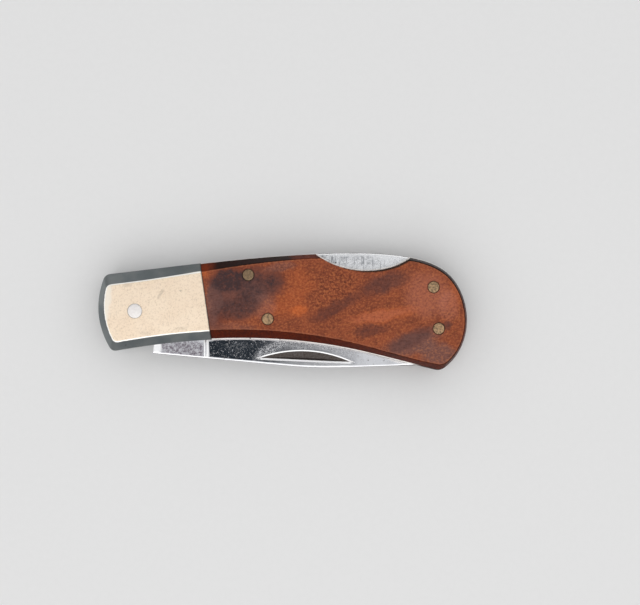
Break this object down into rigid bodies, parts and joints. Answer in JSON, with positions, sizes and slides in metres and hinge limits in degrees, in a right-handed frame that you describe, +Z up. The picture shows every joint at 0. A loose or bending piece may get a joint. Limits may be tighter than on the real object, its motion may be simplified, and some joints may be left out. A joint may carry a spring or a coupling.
{
  "type": "folding pocket knife",
  "caption": "Lock-back folding pocket knife, closed: bevelled metal bolsters, wood scales with brass pins, a thumb scoop over the rocking lock bar, and a nail-nicked blade that folds out.",
  "frame": {"origin": "on the surface that the knife lies on, below the middle of its bounding box", "axes": "+X from the bolster to the butt, +Y towards the back with the lock bar, +Z up through the mark side, which has the nail nick"},
  "size_m": [0.0784, 0.025, 0.011],
  "materials": {
    "bolster_metal": "polished nickel silver, finely scratched",
    "liner_metal": "satin sheet",
    "scale_wood": "polished, dark smoky figure",
    "pin_brass": "dulled, filed flush",
    "pivot_steel": "polished flush",
    "washer_bronze": "smooth",
    "lock_steel": "brushed along the back",
    "spring_steel": "tempered, dull",
    "blade_steel": "mirror ground, lightly scratched"
  },
  "bodies": {
    "handle": {"mark_liner": "liner_metal", "pile_liner": "liner_metal", "mark_bolster": "bolster_metal", "pile_bolster": "bolster_metal", "mark_scale": "scale_wood", "pile_scale": "scale_wood", "mark_scale_rivet": "pin_brass", "pile_scale_rivet": "pin_brass", "mark_bolster_rivets": "bolster_metal", "pile_bolster_rivets": "bolster_metal", "mark_washer": "washer_bronze", "pile_washer": "washer_bronze", "pivot_pin": "pivot_steel", "rocker_pin": "pin_brass", "spring_pin": "pin_brass", "butt_pin": "pin_brass", "rear_spacer": "lock_steel"},
    "blade": {"blade": "blade_steel"},
    "lock_bar": {"lock_bar": "lock_steel"},
    "lock_spring": {"lock_spring": "spring_steel"}
  },
  "joints": [
    {"name": "blade_fold", "type": "hinge", "parent": "handle", "child": "blade", "pos_m": [-0.0313, 0.0001, 0.00549], "axis": [0, 0, -1], "range_deg": [0, 168]},
    {"name": "lock_rock", "type": "hinge", "parent": "handle", "child": "lock_bar", "pos_m": [-0.0073, 0.00774, 0.00549], "axis": [0, 0, -1], "range_deg": [-1.7, 2.5], "stiffness_Nm_per_rad": 1.5},
    {"name": "spring_flex", "type": "hinge", "parent": "handle", "child": "lock_spring", "pos_m": [0.0282, 0.00267, 0.00549], "axis": [0, 0, 1], "range_deg": [-1.4, 2.06]}
  ],
  "couplings": [
    {"joint": "spring_flex", "follows": "lock_rock", "ratio": 0.82051}
  ]
}
